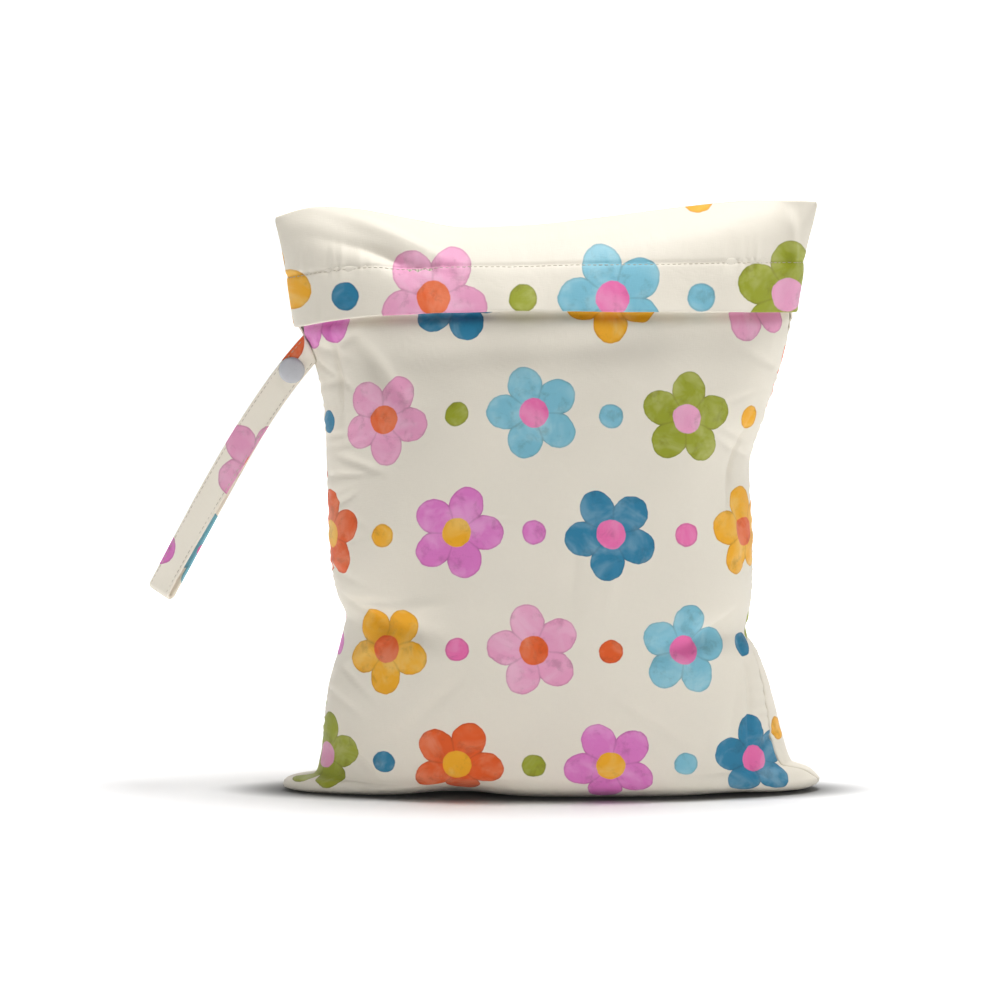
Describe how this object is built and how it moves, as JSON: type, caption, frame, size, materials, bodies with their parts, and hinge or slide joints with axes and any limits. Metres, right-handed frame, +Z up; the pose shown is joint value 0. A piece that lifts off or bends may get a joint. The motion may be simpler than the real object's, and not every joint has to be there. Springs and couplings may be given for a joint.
{
  "type": "cloth diaper wet bag",
  "caption": "Stuffed zip-top cloth bag standing on its base, with a flap over the zip and a snapped wrist strap at its side.",
  "frame": {"origin": "on the flat base that the bag stands on, under the middle of the bag", "axes": "+X to the right as seen from the front, so the strap is on the -X side; the flap faces -Y; +Z up"},
  "size_m": [0.3641, 0.1091, 0.3197],
  "materials": {
    "printed_cloth": "smooth laminated cotton-like cloth, cream with a multicolour daisy and dot print",
    "zip_tape": "plain woven tape",
    "snap_plastic": "satin pale grey resin"
  },
  "bodies": {
    "root": {"front_panel": "printed_cloth", "back_panel": "printed_cloth", "top_band": "printed_cloth", "zip": "zip_tape", "wrist_strap": "printed_cloth", "snap_cap": "snap_plastic", "snap_stud": "snap_plastic"}
  },
  "joints": []
}
